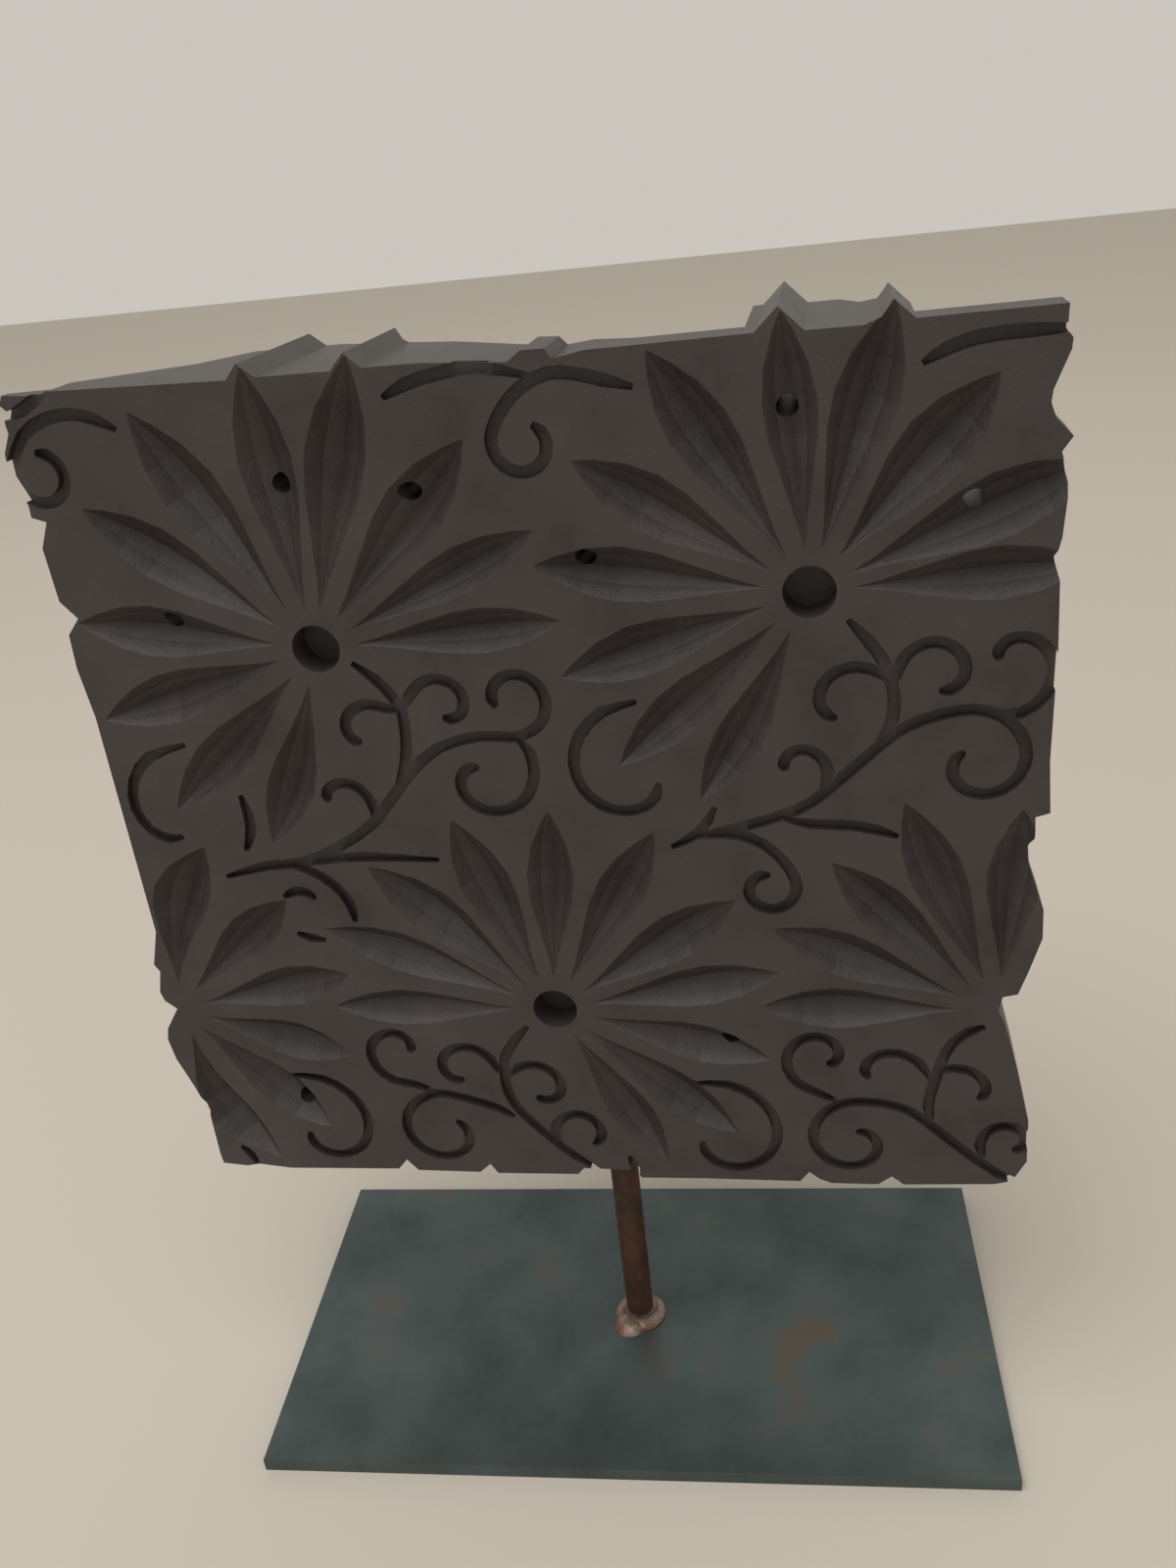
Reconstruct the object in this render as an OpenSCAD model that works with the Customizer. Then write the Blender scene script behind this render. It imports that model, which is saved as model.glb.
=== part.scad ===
// Hand-carved wooden printing block on an iron display stand.
// The post stands on the plate and runs up into a blind hole in the block's underside.
// +Z is up, the carved face looks to -Y, and the origin is under the post, where the plate rests.

/* [Base plate] */
// Length of the base plate, left to right
plate_l = 155; // [120:1:220]
// Depth of the base plate, front to back
plate_w = 80; // [60:1:120]
// Thickness of the base plate
plate_t = 3; // [2:0.5:8]

/* [Post] */
// Diameter of the round post
post_d = 6; // [4:0.5:10]
// Height of bare post between the plate and the block
post_free_h = 58.3; // [30:0.1:90]
// Length of post inside the block
post_in_block = 45; // [25:1:60]
// Chamfer round the post's top end
post_chamfer = 0.8; // [0.3:0.1:1.2]
// Radial clearance between the post and its hole
post_clearance = 0.05; // [0.02:0.01:0.1]
// Gap between the post's top end and the bottom of its hole
post_end_gap = 0.3; // [0.1:0.1:1]

/* [Weld] */
// Width of the weld bead round the post's foot
weld_w = 2.6; // [1.5:0.1:5]
// Height of the weld bead
weld_h = 2.4; // [1:0.1:5]
// Radius of the extra blob of weld
weld_blob_r = 3.6; // [2:0.1:5]
// Height of the extra blob of weld
weld_blob_h = 1.9; // [1:0.1:3]
// Distance of the blob's middle from the post's axis
weld_blob_reach = 4; // [2:0.1:6]
// Direction of the blob round the post
weld_blob_turn = 235; // [0:1:359]

/* [Block] */
// Width of the carved face
face_w = 163; // [150:1:200]
// Height of the carved face
face_h = 157.5; // [140:1:190]
// Thickness of the block
block_t = 33; // [24:1:45]
// Distance from the carved face back to the post's axis
face_to_post = 16.5; // [12:0.5:20]
// Distance of the post to the right of the face's middle
post_offset = 2.1; // [-10:0.1:10]
// Turn of the block on the round post, seen from above
block_turn = -3.3; // [-180:0.1:180]
// Depth of the square rim at the left edge
left_rim = 2; // [1:0.5:6]
// Depth of the square rim at the right edge, which petals run out through
right_rim = 9; // [7:0.5:11]
// Inward run of the upper part of each undercut end
end_run = 24; // [10:1:26]
// Depth at which the undercut ends turn steeper
end_knee = 21; // [12:1:23]
// Inward run of the whole undercut end
end_run_back = 30.5; // [27:0.5:34]
// Slope of the hewn surfaces behind the top edge
hew_angle = 35; // [15:1:55]
// Depth of top edge left in front of the hewn surfaces
hew_land = 7; // [4:0.5:12]

/* [Carving] */
// Depth of a petal cut, as a multiple of half its width
petal_slope = 0.95; // [0.6:0.05:1.1]
// Distance from a flower's middle to the inner ends of its petals
petal_start = 5; // [4:0.1:7]
// Diameter of the round hole in each flower's middle
eye_d = 8.4; // [5:0.2:9]
// Depth of that hole
eye_depth = 6; // [3:0.5:9]
// Diameter of the vent holes through the block
vent_d = 3.4; // [2:0.1:4]
// Width of the vine grooves
groove_w = 2.1; // [1.2:0.1:3]
// Depth of the vine grooves
groove_depth = 1.7; // [0.8:0.1:3]

/* [Handle] */
// Length of the handle on the block's back
handle_l = 96; // [80:1:98]
// Height of the handle
handle_h = 30; // [22:1:44]
// Depth of the handle, away from the block
handle_d = 34; // [26:1:45]
// Radius of the handle's long rounded edges
handle_round = 7; // [3:0.5:9]
// Radius of the finger grooves along the handle
finger_r = 9; // [6:0.5:12]
// Depth of the finger grooves
finger_cut = 5; // [2:0.5:7]
// Distance of the finger grooves' middle from the block's back
finger_y = 13; // [12:0.5:16]
// Slant of the handle's ends
handle_end_run = 8; // [0:1:14]
// Height of the handle's middle above the block's lower edge
handle_z = 79; // [60:1:100]

/* [Nails] */
// Diameter of the nail shanks
nail_d = 3; // [2:0.1:4]
// Diameter of the nail heads
nail_head_d = 7.5; // [5:0.5:10]
// Height of the domed nail heads
nail_head_h = 1.4; // [0.8:0.1:2.5]
// Distance of each nail from the handle's end
nail_inset = 17; // [15:1:26]
// Length of nail inside the block
nail_in_block = 18; // [10:1:20]
// Length of the nail's point
nail_point = 4; // [2:0.5:6]
// Radial clearance round the nails
nail_clearance = 0.05; // [0.02:0.01:0.1]

/* [Hidden] */
$fn = 64;

// Height at which a cutter stands proud of the surface that it cuts
proud = 0.3;
// Heights worked out from the sizes above
block_z = plate_t + post_free_h;
bore_depth = post_in_block + post_end_gap;
post_h = post_free_h + post_in_block;
nail_x = handle_l / 2 - nail_inset;
// Where the underside has been cut away round the post's hole
bore_v = -0.3;

// The ornament is drawn on a face of this size, in millimetres to the right of the
// face's middle and up from its lower edge, and is stretched to face_w and face_h.
drawn_w = 163;
drawn_h = 157.5;
function on_face(p) = [p[0] * face_w / drawn_w, p[1] * face_h / drawn_h];
function shape(points) = [for (p = points) on_face(p)];

// The face's worn and chipped outline, anticlockwise from its lower left corner
lower_edge = [
    [-80.8, -2.4], [-75.5, -2.9], [-72.7, -2.3], [-65.6, -3.1], [-41.7, -2.2], [-39.6, 0.3],
    [-37.5, -2.4], [-24.3, -2.3], [-21.9, -0.1], [-20.5, -2.4], [-3.8, -1.9], [-2.5, bore_v],
    [8, bore_v], [9.1, -2.2], [21.7, -1.8], [40.4, -1.6], [42.2, 0.8], [44.2, -0.9],
    [46.4, -1.8], [55.2, -1.7], [57.8, 0.4], [60, -1.5], [76.7, -0.6]];
right_edge = [
    [79.9, 0.3], [82.4, 5.2], [82.3, 14.8], [79.6, 27.8], [77.4, 36.8], [76.2, 39.5], [76.9, 42.3],
    [79.4, 42.9], [81, 47.7], [83, 54.5], [82.9, 60.1], [80.5, 67.7], [80.2, 71.3], [81, 73.5],
    [80.8, 77.9], [83.1, 78.6], [82.6, 88], [82.9, 106.8], [82.6, 118], [81.8, 121.2],
    [82.6, 124.6], [83.2, 132.4], [81.9, 137.3], [83.4, 139.4], [80.9, 142.1], [80.1, 144.3],
    [80.3, 146.1], [82.5, 151.5], [82.6, 153], [81.8, 154.1]];
top_edge = [
    [81.9, 157.6], [61.4, 157.3], [58.3, 160.2], [56.7, 157.8], [54.1, 156.9], [45.9, 156.9],
    [42.2, 160.5], [38.6, 157.1], [13.7, 156.7], [8.7, 155.8], [7.9, 157.4], [4.2, 157.4],
    [2, 155.9], [-11.6, 156.8], [-20.8, 156.8], [-23.3, 159.2], [-25.8, 156.7], [-38, 156.7],
    [-40.8, 158.9], [-42.9, 156.6], [-73.7, 157.2], [-75.7, 156.6], [-81.6, 157.1]];
left_edge = [
    [-82.4, 155.6], [-81.5, 154.7], [-82.3, 152.9], [-82.2, 151.1], [-83.9, 147.9],
    [-84.1, 143.9], [-82.3, 139.3], [-82.4, 137.2], [-79.9, 136.3], [-82, 131.9], [-81.7, 122.5],
    [-79.1, 119.3], [-81.7, 116.4], [-82, 110.2], [-81.1, 100.7], [-81.3, 55.5], [-83.7, 47.9],
    [-82.8, 46.3], [-84.1, 41.4], [-83.6, 39.3], [-81.4, 37.4], [-84.7, 32.5], [-85.4, 29.8],
    [-84.8, 24.9], [-82.5, 17.9], [-80.8, 11.3], [-81, 0.2]];

// Each flower: its middle, then its petals as tip, half width at the widest place and
// sideways bow to the left of the way from the middle to the tip.
flowers = [
    [[-37, 112], [
        [[-61, 153.5], 5.2, 0], [[-40.3, 159], 4.6, 0], [[-22.7, 159.5], 5, 0],
        [[-6, 145.5], 5, 0], [[3.5, 130.5], 3.8, 0], [[6.5, 115], 3.9, 0],
        [[-73.5, 138.5], 4.6, 0], [[-80, 118.5], 4.6, 0], [[-80, 100], 4.6, 0],
        [[-70.5, 81.5], 4.4, 0], [[-53, 74], 4.3, 1]]],
    [[45.5, 118], [
        [[22.5, 156.5], 4.8, 0], [[42.5, 160.5], 4, 0], [[58.8, 160.5], 4.8, 0],
        [[73.5, 149.5], 5.2, 0], [[88, 136], 5, 0], [[88, 120.5], 4.2, 0],
        [[9.5, 141], 4.6, 0], [[1.5, 124.5], 4.5, 0], [[4, 105], 4.5, 0],
        [[12.5, 88.5], 4.2, 0], [[26, 81.5], 4, 1]]],
    [[-4, 38.5], [
        [[-18.5, 79.5], 4.8, 0], [[-0.5, 81], 4.2, 0], [[18, 76.5], 4.4, 0],
        [[31.5, 62.5], 4.6, 0], [[39, 47], 4.2, 0], [[36.5, 27.5], 4.2, 0],
        [[29.5, 9.5], 4.4, 0], [[15, 2], 4.2, 0], [[-36, 70], 4.9, -0.7],
        [[-47, 56.5], 4.3, -0.7], [[-48.5, 38.5], 4, 0]]],
    [[-81.5, 37.5], [
        [[-66.5, 74.5], 5.5, 3], [[-52.5, 63], 4.5, 0], [[-43, 46], 4.4, 0],
        [[-46, 26.5], 4.4, 0], [[-54, 8], 4.8, 0], [[-67, -0.5], 5, -4.5]]],
    [[76, 39.5], [
        [[79, 80], 4.5, 0], [[59.8, 81.5], 4.6, 0], [[47.5, 70], 4.5, 0],
        [[37, 56.5], 4.5, 0], [[34, 39.5], 4.3, 0]]]];
// The flowers whose round hole lies whole on the face
whole_flowers = [0, 1, 2];

vents = [
    [-38.5, 139.5], [-17, 137], [-63, 117.5], [10.5, 125], [43, 146], [70, 130.5], [28.5, 31],
    [-59.5, 14]];

// Each groove of the vines: the points of its stem, then the curl that it ends in as the
// curl's middle, its radius at the start and the end, and its angle at the start and the end.
vines = [
    [[[-31.2, 109.2], [-27.6, 106.2], [-25, 102.7], [-23.8, 99.5], [-24.2, 93], [-26, 87],
        [-28.3, 83]], []],
    [[[-63.7, 67.7], [-55, 70], [-47.7, 70.7], [-40, 74], [-32.7, 78.7], [-24.7, 87.9],
        [-18.5, 93], [-11, 95], [-5, 94.7]], [[-4.1, 101.5], 6.3, 3.3, -68, 203]],
    [[[-4.2, 94.2]], [[-11.2, 87.3], 9.9, 1.8, 27, -254]],
    [[[-24, 100.2]], [[-16.3, 100.7], 6.1, 1.9, 159, -103]],
    [[[-24.2, 100.2]], [[-31.1, 96], 6.5, 1.6, 48, 238]],
    [[], [[-38.7, 82.6], 7.1, 1.7, -28, 167]],
    [[[-57, 84.7], [-56.4, 80.7], [-56.7, 77.2], [-58.5, 73.2]], []],
    [[[-49.7, 70.2], [-43.7, 71.2], [-35.7, 71.7], [-21.7, 70.9]], []],
    [[], [[-69.1, 79.5], 15.9, 3.2, 76, 250]],
    [[[-50.7, 70]], [[-48.6, 54.4], 14.6, 9.2, 83, 21]],
    [[[-53.2, 63.2], [-50.7, 64.5], [-48.2, 64.1], [-47, 62.7]], []],
    [[[-52.2, 55.3], [-49.7, 54.3], [-46.7, 53.7]], []],
    [[[-63.2, 150.4], [-66.7, 152.4], [-70.7, 153.4], [-75.2, 152.9], [-79.8, 150.6]],
        [[-78.6, 144], 5, 3.7, 160, 450]],
    [[[-82.5, 153.7], [-79, 154.5], [-75.5, 156.5], [-74.5, 158]], []],
    [[[-18.2, 152.1], [-14.2, 153.9], [-8.7, 155.1], [-2.7, 155.5], [5.3, 153.6]], []],
    [[[20.6, 150.9], [16.3, 152.2], [11.8, 153.5], [7.8, 153.8], [3.8, 152.2], [0.8, 149.7]],
        [[2.9, 143.7], 5.1, 3.3, 150, 419]],
    [[[62.3, 151.1], [65.8, 152.9], [70.3, 154.1], [76.3, 154.4], [84.3, 154.3]], []],
    [[[51.3, 113.2], [54.3, 109.7], [56.6, 106.2], [57.9, 102.7], [58.3, 98.7], [57.6, 94.7],
        [55.3, 91.2]], []],
    [[[27.8, 76], [33.3, 76.9], [42.3, 79.9], [47.3, 83.4], [56.3, 91.7], [60.3, 94.7],
        [65.3, 96.6]], [[71.4, 88], 9.4, 2.8, 95, -225]],
    [[[73.3, 96.9]], [[75.8, 105.1], 8.8, 1.6, -77, 163]],
    [[], [[65.1, 103.7], 6.4, 3, -172, -447]],
    [[], [[50.9, 98.7], 7.9, 2.8, 30, 235]],
    [[], [[42.6, 87.5], 5.7, 1.8, -47, 188]],
    [[], [[15.2, 87.3], 13.3, 4.5, 83, 337]],
    [[[28.6, 80.7], [25.8, 76], [20.6, 73]], []],
    [[[40.3, 78.2], [44.8, 77.2], [50.3, 76.9], [55.3, 76], [59, 74.5]], []],
    [[[24.3, 75], [29.3, 75.6], [33.3, 75], [36.8, 73.2], [39.8, 70]],
        [[37, 64.6], 5, 2.6, 24, -279]],
    [[[-9.9, 34.5], [-12.9, 31], [-15.2, 27], [-15.9, 23], [-15.7, 18.5], [-14.2, 14.5],
        [-11.2, 10.5], [-7.7, 6.5], [-3.9, 2.8], [0.6, -0.7]], []],
    [[[-15.2, 12.4], [-18.2, 14.4], [-22.2, 15.9], [-26.7, 17.2]], [[-30, 8.1], 9.6, 3.8, 91, 408]],
    [[[-30.7, 18.2]], [[-36.3, 28.1], 8.4, 1.8, -79, -371]],
    [[], [[-24.3, 23.6], 7.3, 2.1, -3, 272]],
    [[], [[-9.1, 19.4], 7, 1.9, 155, -119]],
    [[], [[-2, 8.7], 5.6, 3.6, -151, -414]],
    [[[7.1, 3.2], [7.9, 0.7], [7.9, -3.3]], []],
    [[], [[26.2, 8.7], 13.9, 4.4, 111, -166]],
    [[], [[-56.4, 7.7], 14.4, 3, 107, -164]],
    [[[74.1, 35.8], [71.3, 34.7], [68.6, 32.2], [66.8, 28.5], [65.9, 25], [64.9, 21],
        [64.4, 17.5], [65.1, 14.5]], []],
    [[[80.8, 0.5], [77.6, 1.8], [70.8, 7.5], [63.5, 14.5], [59.2, 17.3]],
        [[51, 8.7], 9.8, 2.3, 80, 444]],
    [[[47.8, 18.4]], [[45.3, 28.3], 8.1, 1.6, -99, -422]],
    [[], [[55.6, 23.7], 9.4, 1.8, -1, 179]],
    [[], [[71.4, 19.9], 8.2, 1.8, 138, -15]],
    [[], [[79.2, 9.4], 5.8, 1.6, -143, -435]],
    [[[-75.7, 2.4], [-74, 0.4], [-73, -2.3]], []]];

// Points of a curl, one every 30 degrees or so
function curl_points(c) =
    let (steps = ceil(abs(c[4] - c[3]) / 30))
    [for (k = [0:steps])
        let (a = c[3] + (c[4] - c[3]) * k / steps, r = c[1] + (c[2] - c[1]) * k / steps)
        c[0] + r * [cos(a), sin(a)]];
function vine_points(vine) = concat(vine[0], vine[1] == [] ? [] : curl_points(vine[1]));

// Point at share t of the smooth curve from b to c that a leads to and d follows
function curve_point(a, b, c, d, t) =
    (2 * b + (c - a) * t + (2 * a - 5 * b + 4 * c - d) * t * t
        + (3 * b - a - 3 * c + d) * t * t * t) / 2;
function smooth(p, n) =
    let (last = len(p) - 1)
    concat(
        [for (k = [0:last - 1], j = [0:n - 1])
            curve_point(p[max(k - 1, 0)], p[k], p[k + 1], p[min(k + 2, last)], j / n)],
        [p[last]]);

function unit(v) = v / norm(v);
function left_of(v) = [-v[1], v[0]];

// Outline of a groove along points p, narrowed at both ends
function groove_outline(p, w) =
    let (
        last = len(p) - 1,
        half = [for (k = [0:last]) w / 2 * min(1, 0.45 + 0.3 * min(k, last - k))],
        side = [for (k = [0:last])
            left_of(unit(p[min(k + 1, last)] - p[max(k - 1, 0)])) * half[k]])
    concat(
        [for (k = [0:last]) p[k] + side[k]],
        [for (k = [last:-1:0]) p[k] - side[k]]);

// Half width of a petal of half width w at share t of its length
function petal_half(w, t) = w * pow(sin(180 * pow(t, 1.475)), 1.1);

// A cutter shaped like a petal: a pointed, bowed hollow with a crease along its middle
module petal_cutter(middle, tip, w, bow) {
    shares = [0.16, 0.34, 0.5, 0.64, 0.78, 0.9];
    along = tip - middle;
    way = unit(along);
    start = middle + way * petal_start;
    function spot(t) = start + (tip - start) * t + left_of(way) * bow * sin(180 * t);
    function raised(p, h) = [p[0], p[1], h];
    function ring(t) =
        let (
            half = petal_half(w, t),
            deep = half * petal_slope,
            out = left_of(way),
            p = spot(t))
        [raised(p + out * (half + proud), proud), raised(p + out * half * 0.55, -deep * 0.62),
            raised(p, -deep), raised(p - out * half * 0.55, -deep * 0.62),
            raised(p - out * (half + proud), proud)];
    rings = [for (t = shares) each ring(t)];
    count = len(rings);
    points = concat(rings, [raised(start, proud), raised(tip, proud)]);
    last = len(shares) - 1;
    walls = [for (k = [0:last - 1], j = [0:4])
        let (a = 5 * k + j, b = 5 * k + (j + 1) % 5)
        each [[a, b, b + 5], [a, b + 5, a + 5]]];
    inner_end = [for (j = [0:4]) [count, (j + 1) % 5, j]];
    outer_end = [for (j = [0:4]) [count + 1, 5 * last + j, 5 * last + (j + 1) % 5]];
    polyhedron(points, concat(walls, inner_end, outer_end));
}

// Turns a drawing on the flat so that it lies on the block's face
module on_block_face() {
    rotate([90, 0, 0]) children();
}

module face_outline() {
    polygon(shape(concat(lower_edge, right_edge, top_edge, left_edge)));
}

// The block's plan: a short square rim, then ends cut back in two steps
module block_plan() {
    half = face_w / 2;
    reach = half + 10;
    polygon([
        [-reach, 0], [reach, 0], [reach, right_rim], [half, right_rim],
        [half - end_run, end_knee], [half - end_run_back, block_t],
        [end_run_back - half, block_t], [end_run - half, end_knee],
        [-half, left_rim], [-reach, left_rim]]);
}

// One hewn surface that falls away behind the top edge, from one place on it to another
module hewn_cut(from, to) {
    start = on_face([from[0], drawn_h]);
    end = on_face([to[0], drawn_h]);
    run = [end[0] - start[0], to[1] - from[1]];
    translate([start[0], from[1], start[1]])
        rotate([0, 0, atan2(run[1], run[0])])
            rotate([-hew_angle, 0, 0])
                cube([norm(run), 2 * block_t, block_t]);
}

module blank_block() {
    difference() {
        intersection() {
            translate([0, block_t, 0]) on_block_face() linear_extrude(block_t) face_outline();
            translate([0, 0, -face_h]) linear_extrude(3 * face_h) block_plan();
        }
        hewn_cut([-38, block_t], [20, hew_land]);
        hewn_cut([20, hew_land], [37, hew_land]);
        hewn_cut([61.5, hew_land], [95, hew_land]);
    }
}

module petal_cuts() {
    on_block_face()
        for (flower = flowers, petal = flower[1])
            petal_cutter(on_face(flower[0]), on_face(petal[0]), petal[1], petal[2]);
}

module vine_cuts() {
    on_block_face()
        translate([0, 0, -groove_depth])
            linear_extrude(groove_depth + proud)
                offset(delta = 0.01)
                    for (vine = vines)
                        polygon(groove_outline(smooth(shape(vine_points(vine)), 2), groove_w));
}

module eye_cuts() {
    for (k = whole_flowers)
        on_block_face()
            translate([on_face(flowers[k][0])[0], on_face(flowers[k][0])[1], -eye_depth])
                cylinder(d = eye_d, h = eye_depth + proud);
}

module vent_cuts() {
    for (p = shape(vents))
        on_block_face()
            translate([p[0], p[1], -block_t - proud])
                cylinder(d = vent_d, h = block_t + 2 * proud, $fn = 32);
}

// The post's blind hole, upwards from the underside
module post_bore() {
    reach = 5;
    translate([post_offset, face_to_post, -reach])
        cylinder(d = post_d + 2 * post_clearance, h = bore_depth + reach);
}

// Sets a piece that is drawn on the block, face at y = 0, in its place on the stand
module in_place() {
    rotate([0, 0, block_turn])
        translate([-post_offset, -face_to_post, block_z])
            children();
}

// A nail along +Y with the underside of its head at y = 0, and a hole for its shank
module nail_shape(grow = 0) {
    shank = handle_d + nail_in_block;
    rotate([90, 0, 0])
        rotate_extrude($fn = 48)
            polygon([
                [0, 0], [nail_d / 2 + grow, 0], [nail_d / 2 + grow, shank - nail_point],
                [0.3 + grow, shank], [0, shank]]);
}

module nail_head() {
    ball_r = (pow(nail_head_d / 2, 2) + pow(nail_head_h, 2)) / (2 * nail_head_h);
    intersection() {
        translate([0, nail_head_h - ball_r, 0]) sphere(r = ball_r);
        rotate([-90, 0, 0]) cylinder(d = nail_head_d, h = nail_head_h);
    }
}

module at_nail(side) {
    in_place()
        translate([side * nail_x, block_t + handle_d, handle_z])
            children();
}

module nail(side) {
    color("dimgray")
        at_nail(side)
            union() {
                nail_shape();
                nail_head();
            }
}

module nail_left() {
    nail(-1);
}

module nail_right() {
    nail(1);
}

module base_plate() {
    color("darkslategray")
        translate([-plate_l / 2, -plate_w / 2, 0])
            cube([plate_l, plate_w, plate_t]);
}

module post() {
    r = post_d / 2;
    color("saddlebrown")
        translate([0, 0, plate_t])
            rotate_extrude()
                polygon([
                    [0, 0], [r, 0], [r, post_h - post_chamfer],
                    [r - post_chamfer, post_h], [0, post_h]]);
}

// A concave collar of weld round the post's foot
module weld_collar() {
    r = post_d / 2;
    foot = r + weld_w;
    rotate_extrude()
        difference() {
            translate([r, 0]) square([weld_w, weld_h]);
            translate([foot, weld_h]) scale([weld_w * 0.8, weld_h * 0.8]) circle(r = 1);
        }
}

module weld_blob() {
    ball_r = (pow(weld_blob_r, 2) + pow(weld_blob_h, 2)) / (2 * weld_blob_h);
    rotate([0, 0, weld_blob_turn])
        translate([weld_blob_reach, 0, 0])
            intersection() {
                translate([0, 0, weld_blob_h - ball_r]) sphere(r = ball_r);
                cylinder(r = weld_blob_r, h = weld_blob_h);
            }
}

module weld_bead() {
    color("silver")
        translate([0, 0, plate_t])
            difference() {
                union() {
                    weld_collar();
                    weld_blob();
                }
                translate([0, 0, -1]) cylinder(d = post_d, h = weld_h + weld_blob_h + 2);
            }
}

module block() {
    color([0.2, 0.17, 0.16])
        difference() {
            in_place()
                difference() {
                    blank_block();
                    post_bore();
                    eye_cuts();
                    vent_cuts();
                    vine_cuts();
                    petal_cuts();
                }
            for (side = [-1, 1]) at_nail(side) nail_shape(nail_clearance);
        }
}

// The handle's section from the side: rounded outer corners and a finger groove on each side
module handle_section() {
    difference() {
        union() {
            translate([0, -handle_h / 2]) square([handle_d - handle_round, handle_h]);
            translate([0, handle_round - handle_h / 2])
                square([handle_d, handle_h - 2 * handle_round]);
            for (side = [-1, 1])
                translate([handle_d - handle_round, side * (handle_h / 2 - handle_round)])
                    circle(r = handle_round);
        }
        for (side = [-1, 1])
            translate([finger_y, side * (handle_h / 2 + finger_r - finger_cut)])
                circle(r = finger_r);
    }
}

module handle_plan() {
    half = handle_l / 2;
    polygon([
        [-half, 0], [half, 0], [half - handle_end_run, handle_d],
        [handle_end_run - half, handle_d]]);
}

module handle() {
    color("peru")
        difference() {
            in_place()
                translate([0, block_t, handle_z])
                    intersection() {
                        translate([-handle_l / 2, 0, 0])
                            rotate([90, 0, 90])
                                linear_extrude(handle_l) handle_section();
                        translate([0, 0, -handle_h])
                            linear_extrude(2 * handle_h) handle_plan();
                    }
            for (side = [-1, 1]) at_nail(side) nail_shape(nail_clearance);
        }
}

base_plate();
weld_bead();
post();
block();
handle();
nail_left();
nail_right();
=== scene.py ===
# %% [markdown]
# # A carved printing block on its iron stand
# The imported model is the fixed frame, and its own solids are shown as they are.
# The real block is nearly black from years of dye, and the stand is raw steel with some
# rust on it. So the work here is in the camera, the surfaces and the light.
# %% Load the frame
import math

import bpy
from mathutils import Matrix, Vector


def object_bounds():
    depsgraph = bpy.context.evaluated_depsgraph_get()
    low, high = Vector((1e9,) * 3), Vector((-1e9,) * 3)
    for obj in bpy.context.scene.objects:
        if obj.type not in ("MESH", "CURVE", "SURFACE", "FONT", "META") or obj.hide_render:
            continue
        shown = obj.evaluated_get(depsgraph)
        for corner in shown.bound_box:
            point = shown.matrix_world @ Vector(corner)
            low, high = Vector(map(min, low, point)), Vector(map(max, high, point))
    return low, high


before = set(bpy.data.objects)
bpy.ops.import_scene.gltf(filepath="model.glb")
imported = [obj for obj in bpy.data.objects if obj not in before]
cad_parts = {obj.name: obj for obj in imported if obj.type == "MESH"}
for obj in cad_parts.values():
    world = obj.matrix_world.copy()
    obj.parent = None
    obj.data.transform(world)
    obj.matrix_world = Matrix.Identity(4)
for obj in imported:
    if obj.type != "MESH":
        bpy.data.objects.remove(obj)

cad_box = [list(corner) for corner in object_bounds()]
print("CAD box", cad_box)

# %% [markdown]
# ## The camera
# The photograph was taken from a little above and to the right of the block. The place,
# turn and focal length come from fitting the plate's corners and the block's outline.
# The axes are worked out as vectors, because a roll on top of a pitch and a yaw is easier
# to follow that way than as Euler angles.
# %% Camera
FOCAL_PX = 1347.0
PHOTO_HEIGHT_PX = 1600.0
SENSOR_MM = 24.0
NEAREST = 0.01
CAMERA_AT = Vector((0.0353, -0.2184, 0.2446))
PITCH = math.radians(25.59)
YAW = math.radians(8.80)
ROLL = math.radians(6.43)

forward = Vector((-math.sin(YAW) * math.cos(PITCH), math.cos(YAW) * math.cos(PITCH), -math.sin(PITCH)))
level_right = Vector((math.cos(YAW), math.sin(YAW), 0.0))
level_down = forward.cross(level_right)
right = math.cos(ROLL) * level_right + math.sin(ROLL) * level_down
down = -math.sin(ROLL) * level_right + math.cos(ROLL) * level_down
axes = Matrix((right, -down, -forward)).transposed().to_4x4()

lens = bpy.data.cameras.new("camera")
lens.sensor_fit = "VERTICAL"
lens.sensor_height = SENSOR_MM
lens.lens = FOCAL_PX / PHOTO_HEIGHT_PX * SENSOR_MM
lens.clip_start = NEAREST
camera = bpy.data.objects.new("camera", lens)
bpy.context.scene.collection.objects.link(camera)
camera.matrix_world = Matrix.Translation(CAMERA_AT) @ axes
bpy.context.scene.camera = camera
print("lens", round(lens.lens, 2), "mm")

# %% [markdown]
# ## How a finish is made
# Each finish is a principled shader. One noise on Object coordinates picks the colour from
# a ramp, and a finer one roughens the surface, so the pattern stays put from every side.
# An image texture would need its own unwrapped map on every piece.
# %% Material helpers
PATCH_DETAIL, PATCH_ROUGHNESS = 6.0, 0.6
GRAIN_DETAIL, GRAIN_ROUGHNESS = 8.0, 0.7


def new_material(name):
    material = bpy.data.materials.new(name)
    material.use_nodes = True
    return material, material.node_tree, material.node_tree.nodes["Principled BSDF"]


def add_noise(tree, scale, detail, roughness):
    coords = tree.nodes.new("ShaderNodeTexCoord")
    noise = tree.nodes.new("ShaderNodeTexNoise")
    noise.inputs["Scale"].default_value = scale
    noise.inputs["Detail"].default_value = detail
    noise.inputs["Roughness"].default_value = roughness
    tree.links.new(coords.outputs["Object"], noise.inputs["Vector"])
    return noise.outputs["Fac"]


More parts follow.
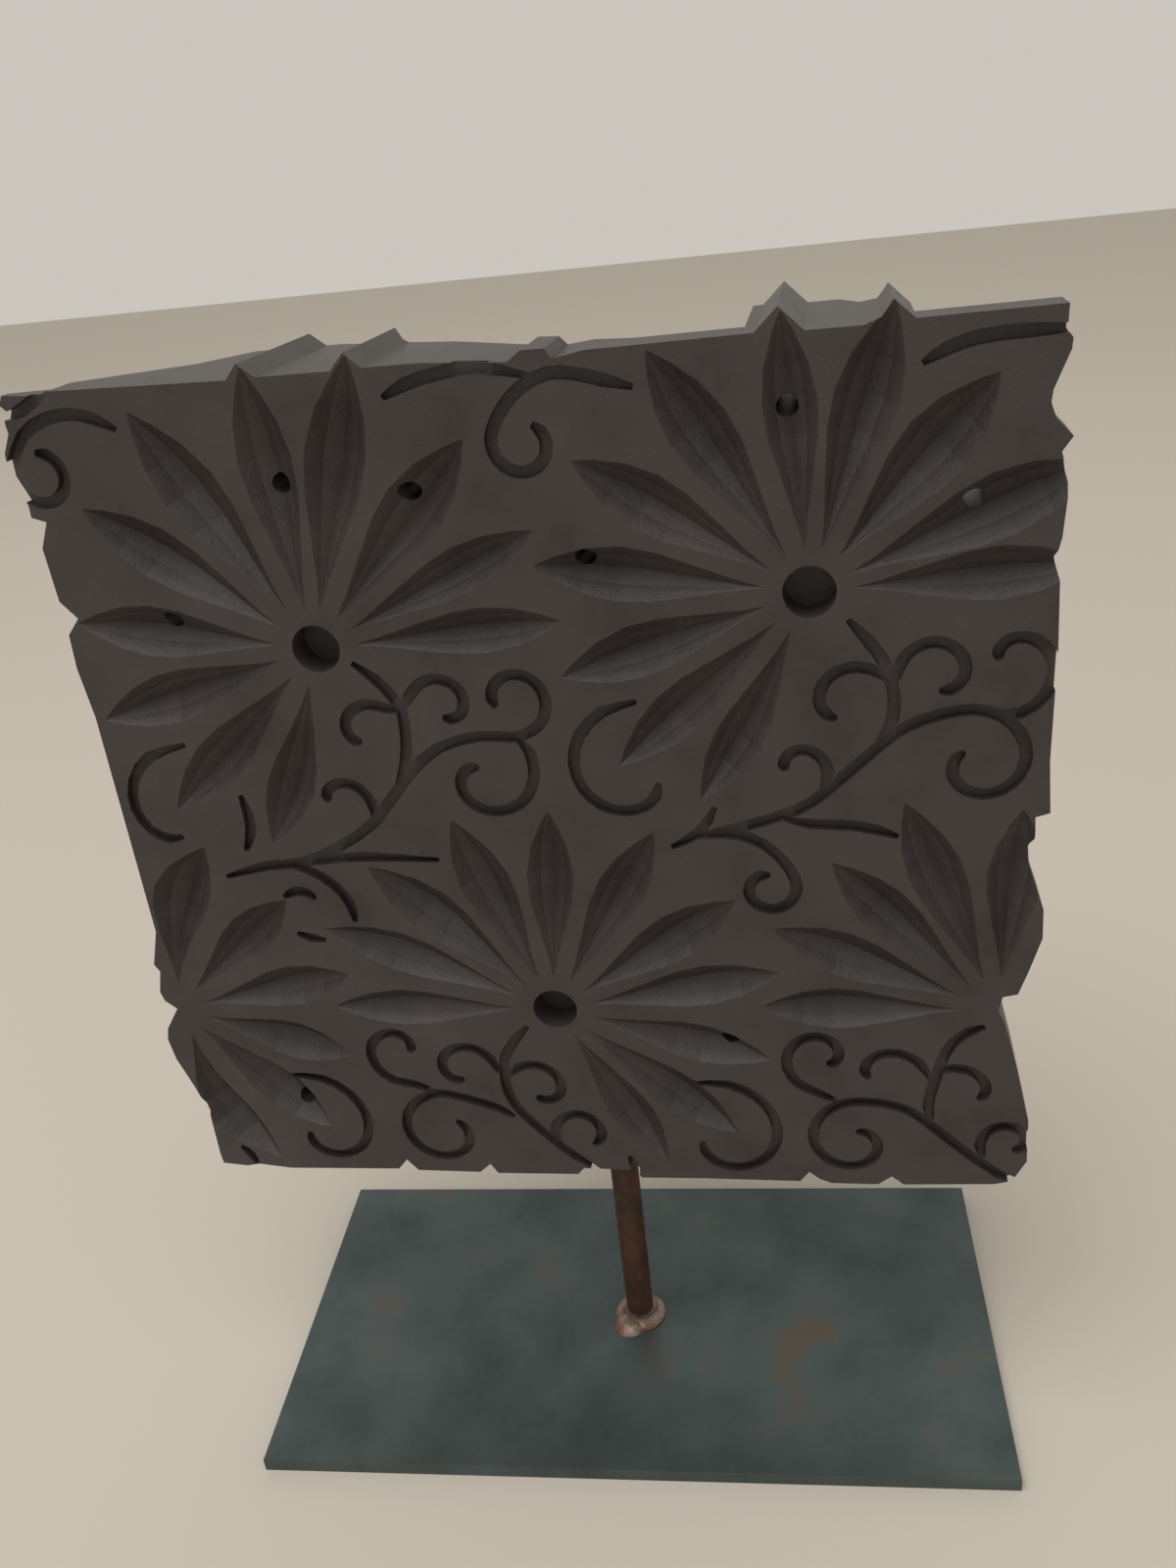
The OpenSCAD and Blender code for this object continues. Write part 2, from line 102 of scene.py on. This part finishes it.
def add_ramp(tree, factor, stops):
    ramp = tree.nodes.new("ShaderNodeValToRGB")
    while len(ramp.color_ramp.elements) < len(stops):
        ramp.color_ramp.elements.new(0.5)
    for element, (place, colour) in zip(ramp.color_ramp.elements, stops):
        element.position = place
        element.color = (*colour, 1.0)
    tree.links.new(factor, ramp.inputs["Fac"])
    return ramp.outputs["Color"]


def add_bump(tree, shader, height, depth):
    bump = tree.nodes.new("ShaderNodeBump")
    bump.inputs["Distance"].default_value = depth
    tree.links.new(height, bump.inputs["Height"])
    tree.links.new(bump.outputs["Normal"], shader.inputs["Normal"])


def finish(name, stops, patches, rough, grain, metallic=0.0, depth=0.0002):
    """Colour patches and a fine grain, both given as noise scales."""
    material, tree, shader = new_material(name)
    colour = add_ramp(tree, add_noise(tree, patches, PATCH_DETAIL, PATCH_ROUGHNESS), stops)
    tree.links.new(colour, shader.inputs["Base Color"])
    add_bump(tree, shader, add_noise(tree, grain, GRAIN_DETAIL, GRAIN_ROUGHNESS), depth)
    shader.inputs["Roughness"].default_value = rough
    shader.inputs["Metallic"].default_value = metallic
    return material


# %% [markdown]
# ## One finish for each piece
# The plate keeps the blue-green scale of hot rolling, with brown rust in places, and the
# rod is rusty all over. The weld is brighter metal. The block is dark with dye, the grip is
# bare wood, and the two nails share one forged iron.
# %% Finishes
plate_steel = finish(
    "plate_steel", [(0.3, (0.05, 0.07, 0.07)), (0.6, (0.09, 0.12, 0.12)), (0.75, (0.16, 0.09, 0.05))],
    patches=40, rough=0.38, grain=900, metallic=0.6, depth=0.00005)
weld_steel = finish(
    "weld_steel", [(0.35, (0.3, 0.27, 0.24)), (0.65, (0.22, 0.1, 0.05))],
    patches=300, rough=0.4, grain=900, metallic=0.8)
rusty_iron = finish(
    "rusty_iron", [(0.3, (0.035, 0.022, 0.018)), (0.7, (0.12, 0.05, 0.025))],
    patches=200, rough=0.5, grain=900, metallic=0.3)
inked_wood = finish(
    "inked_wood", [(0.3, (0.028, 0.022, 0.022)), (0.55, (0.045, 0.038, 0.038)), (0.8, (0.06, 0.045, 0.04))],
    patches=60, rough=0.42, grain=1500)
bare_wood = finish(
    "bare_wood", [(0.3, (0.12, 0.06, 0.03)), (0.7, (0.22, 0.13, 0.07))],
    patches=80, rough=0.5, grain=700)
nail_iron = finish(
    "nail_iron", [(0.3, (0.03, 0.025, 0.02)), (0.7, (0.08, 0.04, 0.025))],
    patches=300, rough=0.5, grain=900, metallic=0.5)

finishes = {
    "base_plate": plate_steel,
    "weld_bead": weld_steel,
    "post": rusty_iron,
    "block": inked_wood,
    "handle": bare_wood,
    "nail_left": nail_iron,
    "nail_right": nail_iron,
}
for node, material in finishes.items():
    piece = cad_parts[node]
    piece.data.materials.clear()
    piece.data.materials.append(material)
print(len(finishes), "nodes finished")

# %% [markdown]
# ## The floor
# A plain pale floor lies right under the plate and takes its shadow.
# %% Floor
FLOOR_SIZE = 6.0
FLOOR_COLOUR = (0.6, 0.55, 0.48, 1.0)
FLOOR_ROUGH = 0.8

bpy.ops.object.select_all(action="DESELECT")
bpy.ops.mesh.primitive_plane_add(size=FLOOR_SIZE, location=(0.0, 0.0, cad_box[0][2]))
floor = bpy.context.object
floor.name = "floor"
floor_material, _, floor_shader = new_material("floor")
floor_shader.inputs["Base Color"].default_value = FLOOR_COLOUR
floor_shader.inputs["Roughness"].default_value = FLOOR_ROUGH
floor.data.materials.append(floor_material)
print("floor at height", cad_box[0][2])

# %% [markdown]
# ## The light
# The photograph has soft light with no hard shadows. One large lamp stands above and in
# front of the block, and a pale surround lights the rest.
# %% Lamp and surround
LAMP_AT = Vector((-0.3, -0.5, 1.6))
LAMP_TARGET = Vector((0.0, 0.0, 0.1))
LAMP_SIZE = 1.2
LAMP_WATTS = 14.0
SURROUND_COLOUR = (0.74, 0.71, 0.65, 1.0)
SURROUND_STRENGTH = 0.8

light = bpy.data.lights.new("ceiling", "AREA")
light.size = LAMP_SIZE
light.energy = LAMP_WATTS
lamp = bpy.data.objects.new("ceiling", light)
bpy.context.scene.collection.objects.link(lamp)
lamp.location = LAMP_AT
lamp.rotation_euler = (LAMP_TARGET - LAMP_AT).to_track_quat("-Z", "Y").to_euler()

world = bpy.data.worlds.new("surround")
bpy.context.scene.world = world
world.use_nodes = True
background = world.node_tree.nodes["Background"]
background.inputs["Color"].default_value = SURROUND_COLOUR
background.inputs["Strength"].default_value = SURROUND_STRENGTH
bpy.context.scene.view_settings.view_transform = "Standard"
print("one lamp of", LAMP_WATTS, "W")
